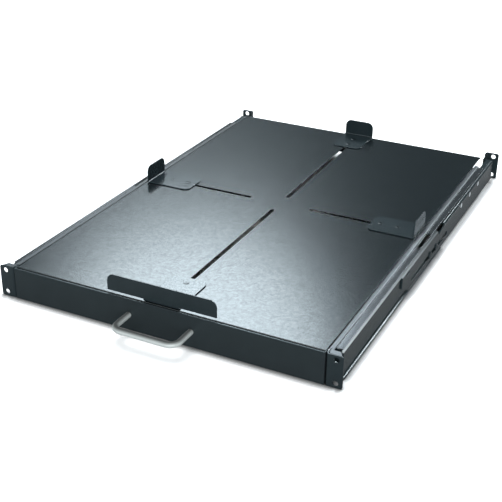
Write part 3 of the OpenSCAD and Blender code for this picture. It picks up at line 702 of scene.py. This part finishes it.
def turned(profile, sides=ROUND):
    """A turned piece along +Z, from (radius, height) pairs, built up from its lower end."""
    (r0, z0), (r1, z1) = profile[:2]
    deselect()
    bpy.ops.mesh.primitive_cone_add(
        vertices=sides,
        radius1=r0,
        radius2=r1,
        depth=z1 - z0,
        end_fill_type="NGON",
        location=(0, 0, (z0 + z1) / 2),
    )
    piece = bpy.context.active_object
    bpy.ops.object.transform_apply(location=True, rotation=True, scale=True)
    for face in piece.data.polygons:
        face.select = face.normal.z > 0.9 and face.center.z > (z0 + z1) / 2
    bpy.ops.object.mode_set(mode="EDIT")
    bpy.ops.mesh.select_mode(type="FACE")
    radius, height = r1, z1
    for r, z in profile[2:]:
        bpy.ops.mesh.extrude_region_move(TRANSFORM_OT_translate={"value": (0, 0, z - height)})
        bpy.ops.transform.resize(value=(r / radius, r / radius, 1), center_override=(0, 0, z))
        radius, height = r, z
    bpy.ops.object.mode_set(mode="OBJECT")
    return piece


def prism(sides, radius, z0, z1):
    """A plain prism along +Z."""
    deselect()
    bpy.ops.mesh.primitive_cylinder_add(
        vertices=sides, radius=radius, depth=z1 - z0, location=(0, 0, (z0 + z1) / 2)
    )
    piece = bpy.context.active_object
    bpy.ops.object.transform_apply(location=True, rotation=True, scale=True)
    return piece


def carved(piece, tool, operation="DIFFERENCE"):
    """Cuts one piece with another, which is used up."""
    pick(piece)
    cut = piece.modifiers.new("cut", "BOOLEAN")
    cut.operation = operation
    cut.solver = "EXACT"
    cut.object = tool
    bpy.ops.object.modifier_apply(modifier=cut.name)
    bpy.data.objects.remove(tool)
    return piece


def socketed(piece, length, corner, depth):
    """Sinks a hexagon socket into the far end of a piece."""
    return carved(piece, prism(6, corner, length - depth, length + OVERRUN))


def head(rim, seat, outline, way=1):
    """Points of a head or an edge from its outline, up from the seat or, with a way of -1, down."""
    return [(rim - inset * MM, seat + way * rise * MM) for inset, rise in outline]


def head_height(outline):
    return max(rise for inset, rise in outline) * MM


def threaded(radius, length, tip):
    """Profile of a threaded shank from its chamfered tip at 0."""
    sizes = bpy.context.scene.shelf_sizes
    pitch, depth = sizes.thread_pitch, sizes.thread_depth
    z = depth + tip
    points = [(radius - z, 0), (radius, z)]
    while z + pitch < length:
        points.append((radius - depth, z + pitch / 2))
        points.append((radius, z + pitch))
        z += pitch
    points.append((radius, length))
    return points


# Places of the solids of a CAD node

AXES = {
    "+X": Matrix.Rotation(radians(90), 4, "Y"),
    "-X": Matrix.Rotation(radians(-90), 4, "Y"),
    "+Y": Matrix.Rotation(radians(-90), 4, "X"),
    "+Z": Matrix.Identity(4),
}


def solids(node):
    """The lowest and highest corners of each solid of a CAD node."""
    mesh = frame["nodes"][node].data
    parent = list(range(len(mesh.vertices)))

    def root(i):
        while parent[i] != i:
            parent[i] = parent[parent[i]]
            i = parent[i]
        return i

    seen = {}
    for vertex in mesh.vertices:
        key = tuple(round(c, 6) for c in vertex.co)
        parent[root(vertex.index)] = root(seen.setdefault(key, vertex.index))
    for edge in mesh.edges:
        parent[root(edge.vertices[0])] = root(edge.vertices[1])
    groups = {}
    for vertex in mesh.vertices:
        groups.setdefault(root(vertex.index), []).append(vertex.co)
    boxes = []
    for points in groups.values():
        lo = Vector([min(p[i] for p in points) for i in range(3)])
        hi = Vector([max(p[i] for p in points) for i in range(3)])
        boxes.append((lo, hi))
    return sorted(boxes, key=lambda box: tuple(round(c, 5) for c in box[0]))


def spans(box, axis):
    """Length of a solid along an axis, and its largest width across it."""
    lo, hi = box
    i = "XYZ".index(axis[1])
    return hi[i] - lo[i], max(hi[j] - lo[j] for j in range(3) if j != i)


def outward(box):
    """The way from the middle of the shelf to the solid, to the left or the right."""
    lo, hi = box
    return "+X" if lo.x + hi.x > 0 else "-X"


def standing(box, axis):
    """Place of a piece drawn along +Z from its foot, with its foot on the solid's near end."""
    lo, hi = box
    foot = (lo + hi) / 2
    i = "XYZ".index(axis[1])
    foot[i] = lo[i] if axis[0] == "+" else hi[i]
    return Matrix.Translation(foot) @ AXES[axis]


def copies(master, boxes, axis=None):
    """Copies of a master on the solids, joined to one piece. The master is used up.

    Without an axis, they point outward.
    """
    made = []
    for box in boxes:
        piece = bpy.data.objects.new("copy", master.data.copy())
        bpy.context.scene.collection.objects.link(piece)
        piece.data.transform(standing(box, axis or outward(box)))
        made.append(piece)
    bpy.data.objects.remove(master)
    return joined(made)


# Pieces

class SHELF_OT_deck(bpy.types.Operator):
    """Makes the slotted deck and the tray's side channels"""

    bl_idname = "shelf.deck"
    bl_label = "Deck"

    def execute(self, context):
        width = context.scene.shelf_sizes.sheet_edge
        for node in ("tray_deck", "left_tray_side", "right_tray_side"):
            sheet_piece(node, "deck_paint", width)
        return {"FINISHED"}


class SHELF_OT_panel(bpy.types.Operator):
    """Makes the front panel"""

    bl_idname = "shelf.panel"
    bl_label = "Front panel"

    def execute(self, context):
        sheet_piece("front_panel", "trim_paint", context.scene.shelf_sizes.panel_edge, 3)
        return {"FINISHED"}


class SHELF_OT_handle(bpy.types.Operator):
    """Bends the bow handle from one round rod"""

    bl_idname = "shelf.handle"
    bl_label = "Handle"

    def execute(self, context):
        bend = context.scene.shelf_sizes.handle_bend
        chamfer = context.scene.shelf_sizes.handle_chamfer
        lo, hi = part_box("handle")
        radius = (hi.z - lo.z) / 2
        foot_x = hi.x - radius
        height = (hi.z + lo.z) / 2
        leg = hi.y - lo.y - radius - bend
        bar = 2 * (foot_x - bend)
        deselect()
        bpy.ops.mesh.primitive_circle_add(
            vertices=ROUND,
            radius=radius - chamfer,
            fill_type="NOTHING",
            location=(foot_x, hi.y, height),
            rotation=(radians(90), 0, 0),
        )
        rod = context.active_object
        bpy.ops.object.transform_apply(location=True, rotation=True, scale=True)
        bpy.ops.object.mode_set(mode="EDIT")
        bpy.ops.mesh.select_mode(type="EDGE")
        bpy.ops.mesh.select_all(action="SELECT")
        grow = radius / (radius - chamfer)

        def run(x, y):
            bpy.ops.mesh.extrude_edges_move(TRANSFORM_OT_translate={"value": (x, y, 0)})

        def swell(factor, centre):
            bpy.ops.transform.resize(value=(factor, factor, factor), center_override=centre)

        run(0, -chamfer)
        swell(grow, (foot_x, hi.y - chamfer, height))
        run(0, chamfer - leg)
        for centre_x in (foot_x - bend, bend - foot_x):
            if centre_x < 0:
                run(-bar, 0)
            bpy.ops.mesh.spin(
                steps=BEND_STEPS,
                angle=radians(90),
                center=(centre_x, hi.y - leg, height),
                axis=(0, 0, 1),
            )
        run(0, leg - chamfer)
        run(0, chamfer)
        swell(1 / grow, (-foot_x, hi.y, height))
        bpy.ops.object.mode_set(mode="OBJECT")
        for edge in rod.data.edges:
            a, b = (rod.data.vertices[i].co for i in edge.vertices)
            edge.select = min(a.y, b.y) > hi.y - HAIR
        bpy.ops.object.mode_set(mode="EDIT")
        bpy.ops.mesh.edge_face_add()
        bpy.ops.mesh.select_all(action="SELECT")
        bpy.ops.mesh.remove_doubles(threshold=MERGED)
        bpy.ops.mesh.normals_make_consistent(inside=False)
        bpy.ops.object.mode_set(mode="OBJECT")
        finished(smoothed(rod, degrees=40.0), "handle_rod", "satin_rod", "handle")
        return {"FINISHED"}


class SHELF_OT_rails(bpy.types.Operator):
    """Makes the side rails"""

    bl_idname = "shelf.rails"
    bl_label = "Side rails"

    def execute(self, context):
        for side in HANDS:
            sheet_piece(side + "_side_rail", "rail_paint", context.scene.shelf_sizes.sheet_edge)
        return {"FINISHED"}


class SHELF_OT_brackets(bpy.types.Operator):
    """Makes the front and rear brackets"""

    bl_idname = "shelf.brackets"
    bl_label = "Brackets"

    def execute(self, context):
        for side in HANDS:
            for end in ("front", "rear"):
                node = side + "_" + end + "_bracket"
                sheet_piece(node, "bracket_paint", context.scene.shelf_sizes.sheet_edge)
        return {"FINISHED"}


class SHELF_OT_slides(bpy.types.Operator):
    """Makes the slide members and their bumpers, and finishes the ball cages"""

    bl_idname = "shelf.slides"
    bl_label = "Slides"

    def execute(self, context):
        sizes = context.scene.shelf_sizes
        for side in HANDS:
            for member in ("outer", "middle", "inner"):
                sheet_piece(side + "_slide_" + member, "zinc_plate", sizes.slide_edge, 1)
            for row in ("outer", "inner"):
                kept(side + "_" + row + "_cage", "zinc_plate")
                kept(side + "_" + row + "_balls", "ball_steel")
        sheet_piece("slide_bumpers", "black_rubber", sizes.bumper_edge, 3)
        return {"FINISHED"}


class SHELF_OT_stops(bpy.types.Operator):
    """Makes the four stops and their clamp plates"""

    bl_idname = "shelf.stops"
    bl_label = "Stops"

    def execute(self, context):
        width = context.scene.shelf_sizes.sheet_edge
        for side in STOPS:
            sheet_piece(side + "_stop", "bracket_paint", width)
            sheet_piece(side + "_clamp_plate", "zinc_plate", width)
        return {"FINISHED"}


class SHELF_OT_stop_studs(bpy.types.Operator):
    """Turns the threaded studs of the stops, with low domed heads"""

    bl_idname = "shelf.stop_studs"
    bl_label = "Stop studs"

    def execute(self, context):
        for side in STOPS:
            node = side + "_stop_studs"
            boxes = solids(node)
            length, wide = spans(boxes[0], "+Z")
            seat = length - head_height(STUD_HEAD)
            profile = threaded(STUD_THREAD, seat, THREAD_TIP) + head(wide / 2, seat, STUD_HEAD)
            stud = turned(profile, FINE_ROUND)
            stud = smoothed(socketed(stud, length, STUD_SOCKET, STUD_SOCKET_DEPTH))
            finished(copies(stud, boxes, "+Z"), node + "_turned", "deck_paint", node)
        return {"FINISHED"}


def nuts_on(node, finish, sizes, axis=None):
    """Makes the chamfered nuts of a node."""
    flats, height, bore = sizes
    corner = flats / 2 / cos(radians(30))
    face = flats / 2 * NUT_FACE_SHARE
    drop = (corner - flats / 2) * NUT_DROP_SHARE
    rounding = [
        (face, -HAIR),
        (corner + HAIR, drop),
        (corner + HAIR, height - drop),
        (face, height + HAIR),
    ]
    hole = [
        (bore + BORE_FLARE, -BORE_MOUTH),
        (bore, BORE_CHAMFER),
        (bore, height - BORE_CHAMFER),
        (bore + BORE_FLARE, height + BORE_MOUTH),
    ]
    nut = carved(prism(6, corner, 0, height), turned(rounding, SMOOTH_ROUND), "INTERSECT")
    nut = carved(nut, turned(hole))
    nut.data.transform(Matrix.Rotation(radians(90), 4, "Z"))
    nut = smoothed(nut, degrees=25.0)
    finished(copies(nut, solids(node), axis), node + "_hex", finish, node)


class SHELF_OT_nuts(bpy.types.Operator):
    """Makes the chamfered nuts"""

    bl_idname = "shelf.nuts"
    bl_label = "Nuts"

    def execute(self, context):
        for side in STOPS:
            nuts_on(side + "_lock_nut", "zinc_plate", LOCK_NUT, "+Z")
        nuts_on("clamp_nuts", "bracket_paint", CLAMP_NUT)
        nuts_on("panel_nuts", "zinc_plate", PANEL_NUT, "+Y")
        return {"FINISHED"}


class SHELF_OT_thumb_nuts(bpy.types.Operator):
    """Makes the ribbed thumb nuts under the stops"""

    bl_idname = "shelf.thumb_nuts"
    bl_label = "Thumb nuts"

    def execute(self, context):
        sizes = context.scene.shelf_sizes
        ribs, depth = sizes.grip_ribs, sizes.grip_depth
        for side in STOPS:
            node = side + "_thumb_nut"
            boxes = solids(node)
            height, wide = spans(boxes[0], "+Z")
            rim = wide / 2
            profile = head(rim, 0, GRIP_EDGE) + head(rim, height, GRIP_TOP, -1)
            nut = turned(profile, ribs * FACETS_PER_RIB)
            for vertex in nut.data.vertices:
                radius = Vector((vertex.co.x, vertex.co.y)).length
                if radius < rim - RIBBED:
                    continue
                wave = 0.5 - 0.5 * cos(ribs * atan2(vertex.co.y, vertex.co.x))
                vertex.co.x *= 1 - depth * wave / radius
                vertex.co.y *= 1 - depth * wave / radius
            hole = turned([(STUD_BORE, -OVERRUN), (STUD_BORE, height + OVERRUN)])
            nut = smoothed(carved(nut, hole), degrees=32.0)
            finished(copies(nut, boxes, "+Z"), node + "_grip", "black_rubber", node)
        return {"FINISHED"}


class SHELF_OT_rivets(bpy.types.Operator):
    """Makes the domed rivets of the rails and of the inner slide members"""

    bl_idname = "shelf.rivets"
    bl_label = "Rivets"

    def execute(self, context):
        groups = {}
        for box in solids("rail_rivets"):
            length, wide = spans(box, outward(box))
            groups.setdefault((round(length, 5), round(wide, 5)), []).append(box)
        made = []
        for (length, wide), group in sorted(groups.items()):
            seat = length - head_height(HOLLOW_HEAD)
            tip = head(RIVET_SHANK, 0, RIVET_TIP) + [(RIVET_SHANK, seat)]
            rivet = turned(tip + head(wide / 2, seat, HOLLOW_HEAD))
            made.append(copies(smoothed(rivet, degrees=40.0), group))
        finished(joined(made), "rail_rivets_domed", "zinc_plate", "rail_rivets")

        boxes = solids("slide_rivets")
        length, wide = spans(boxes[0], outward(boxes[0]))
        near_seat = head_height(CLOSED_HEAD)
        far_seat = length - head_height(DOMED_HEAD)
        closed = head(wide / 2, near_seat, CLOSED_HEAD, -1)[::-1]
        shank = [(RIVET_SHANK, near_seat), (RIVET_SHANK, far_seat)]
        rivet = turned(closed + shank + head(wide / 2, far_seat, DOMED_HEAD))
        piece = copies(smoothed(rivet, degrees=40.0), boxes)
        finished(piece, "slide_rivets_domed", "zinc_plate", "slide_rivets")
        return {"FINISHED"}


class SHELF_OT_bolts(bpy.types.Operator):
    """Makes the clamping bolts, the panel studs and the handle screws"""

    bl_idname = "shelf.bolts"
    bl_label = "Bolts and screws"

    def execute(self, context):
        boxes = solids("clamp_bolts")
        length, wide = spans(boxes[0], outward(boxes[0]))
        seat = length - head_height(BOLT_HEAD)
        profile = threaded(BOLT_THREAD, seat, BOLT_TIP) + head(wide / 2, seat, BOLT_HEAD)
        bolt = socketed(turned(profile, FINE_ROUND), length, BOLT_SOCKET, BOLT_SOCKET_DEPTH)
        piece = copies(smoothed(bolt), boxes)
        finished(piece, "clamp_bolts_socket", "bracket_paint", "clamp_bolts")

        boxes = solids("panel_studs")
        length, wide = spans(boxes[0], "+Y")
        thread = threaded(SCREW_THREAD, length - head_height(COLLAR), THREAD_TIP)
        shank = [(r, length - z) for r, z in reversed(thread)]
        stud = turned(head(wide / 2, 0, COLLAR) + shank)
        piece = copies(smoothed(stud), boxes, "+Y")
        finished(piece, "panel_studs_threaded", "zinc_plate", "panel_studs")

        boxes = solids("handle_screws")
        length, wide = spans(boxes[0], "+Y")
        seat = length - head_height(SCREW_HEAD)
        profile = threaded(SCREW_THREAD, seat, THREAD_TIP) + head(wide / 2, seat, SCREW_HEAD)
        screw = turned(profile)
        narrowed = Matrix.Diagonal((1, CROSS_WIDTH_SHARE, 1, 1)) @ Matrix.Rotation(radians(45), 4, "Z")
        for turn in (0, 90):
            blade = prism(4, CROSS_REACH, length - CROSS_DEPTH, length + OVERRUN)
            blade.data.transform(Matrix.Rotation(radians(turn), 4, "Z") @ narrowed)
            screw = carved(screw, blade)
        piece = copies(smoothed(screw), boxes, "+Y")
        finished(piece, "handle_screws_cross", "zinc_plate", "handle_screws")
        return {"FINISHED"}


# Stage

class SHELF_OT_stage(bpy.types.Operator):
    """Makes the floor, the lights, the surroundings and the camera"""

    bl_idname = "shelf.stage"
    bl_label = "Stage"

    def execute(self, context):
        stage = context.scene.shelf_stage
        deselect()
        bpy.ops.mesh.primitive_plane_add(
            size=stage.floor_size, location=(0, stage.floor_middle, stage.floor_z)
        )
        floor = context.active_object
        floor.name = "floor"
        bpy.ops.object.transform_apply(location=True, rotation=True, scale=True)
        floor.data.materials.append(floor_material(stage))

        for name in ("key", "overhead", "rim", "fill"):
            sun(stage, name)

        world = bpy.data.worlds.new("studio")
        world.use_nodes = True
        back = world.node_tree.nodes["Background"]
        back.inputs["Color"].default_value = opaque(stage.world_tint)
        back.inputs["Strength"].default_value = stage.world_strength
        context.scene.world = world

        context.scene.camera = camera_on(stage)
        context.scene.view_settings.view_transform = "Standard"
        return {"FINISHED"}


def sun(stage, name):
    """A distant light, from the settings that start with its name."""
    lamp = bpy.data.lights.new(name, "SUN")
    lamp.energy = getattr(stage, name + "_strength")
    lamp.angle = getattr(stage, name + "_width")
    lamp.color = getattr(stage, name + "_tint")
    item = bpy.data.objects.new(name, lamp)
    bpy.context.scene.collection.objects.link(item)
    azimuth = getattr(stage, name + "_azimuth")
    height = getattr(stage, name + "_height")
    way = Vector((sin(azimuth) * cos(height), cos(azimuth) * cos(height), sin(height)))
    item.rotation_mode = "QUATERNION"
    item.rotation_quaternion = way.to_track_quat("Z", "Y")


def camera_on(stage):
    """The camera, turned by its direction and by the picture's upward direction."""
    lens = bpy.data.cameras.new("camera")
    lens.lens = stage.lens
    lens.sensor_width = stage.sensor
    lens.clip_start = 0.01
    lens.clip_end = 100.0
    camera = bpy.data.objects.new("camera", lens)
    bpy.context.scene.collection.objects.link(camera)
    back_way = -Vector(stage.camera_forward).normalized()
    right = Vector(stage.camera_up).cross(back_way).normalized()
    up = back_way.cross(right)
    turn = Matrix((right, up, back_way)).transposed().to_4x4()
    camera.matrix_world = Matrix.Translation(Vector(stage.camera_place)) @ turn
    return camera


def floor_material(stage):
    """White floor, with a painted contact shadow that darkens it close to the shelf; it keeps its cast
    shadows.

    It has a brightness for the camera, one for reflections and one for the light that it throws back.
    """
    finish = Finish("floor")
    seen = finish.node("ShaderNodeLightPath", output="Is Camera Ray")
    path = seen.socket.node
    glossy = Wire(finish, path.outputs["Is Glossy Ray"])
    clear = Wire(finish, path.outputs["Is Transmission Ray"])
    # Painted contact shadow: ambient occlusion darkens the floor's colour close to the shelf
    near = finish.node("ShaderNodeAmbientOcclusion", {"Distance": stage.contact_shade}, output="AO")
    shown = diffuse(finish, near * near * near * stage.floor_white)
    plain = diffuse(finish, opaque((stage.floor_plain,) * 3))
    mirrored = diffuse(finish, opaque((stage.floor_mirrored,) * 3))
    unseen = finish.node("ShaderNodeMixShader", {0: glossy + clear, 1: plain, 2: mirrored})
    mixed = finish.node("ShaderNodeMixShader", {0: seen, 1: unseen, 2: shown})
    finish.node("ShaderNodeOutputMaterial", {"Surface": mixed})
    return finish.material


def diffuse(finish, colour):
    return finish.node("ShaderNodeBsdfDiffuse", {"Color": colour})


class SHELF_PT_panel(bpy.types.Panel):
    """Lists the pieces of the shelf and its settings"""

    bl_idname = "SHELF_PT_panel"
    bl_label = "Sliding rack shelf"
    bl_space_type = "VIEW_3D"
    bl_region_type = "UI"
    bl_category = "Rack shelf"

    def draw(self, context):
        layout = self.layout
        for operator in OPERATORS:
            layout.operator(operator.bl_idname)
        for name, group in GROUPS.items():
            box = layout.box()
            settings = getattr(context.scene, name)
            for key in group.__annotations__:
                box.prop(settings, key)


GROUPS = {"shelf_sizes": ShelfSizes, "shelf_colours": ShelfColours, "shelf_stage": ShelfStage}
OPERATORS = (
    SHELF_OT_deck,
    SHELF_OT_panel,
    SHELF_OT_handle,
    SHELF_OT_rails,
    SHELF_OT_brackets,
    SHELF_OT_slides,
    SHELF_OT_stops,
    SHELF_OT_stop_studs,
    SHELF_OT_nuts,
    SHELF_OT_thumb_nuts,
    SHELF_OT_rivets,
    SHELF_OT_bolts,
    SHELF_OT_stage,
)


def register():
    for item in (*GROUPS.values(), *OPERATORS, SHELF_PT_panel):
        bpy.utils.register_class(item)
    for name, group in GROUPS.items():
        setattr(bpy.types.Scene, name, bpy.props.PointerProperty(type=group))


def unregister():
    for name in GROUPS:
        delattr(bpy.types.Scene, name)
    for item in reversed((*GROUPS.values(), *OPERATORS, SHELF_PT_panel)):
        bpy.utils.unregister_class(item)


def main():
    register()
    for operator in OPERATORS:
        family, name = operator.bl_idname.split(".")
        getattr(getattr(bpy.ops, family), name)()


if __name__ == "__main__":
    main()
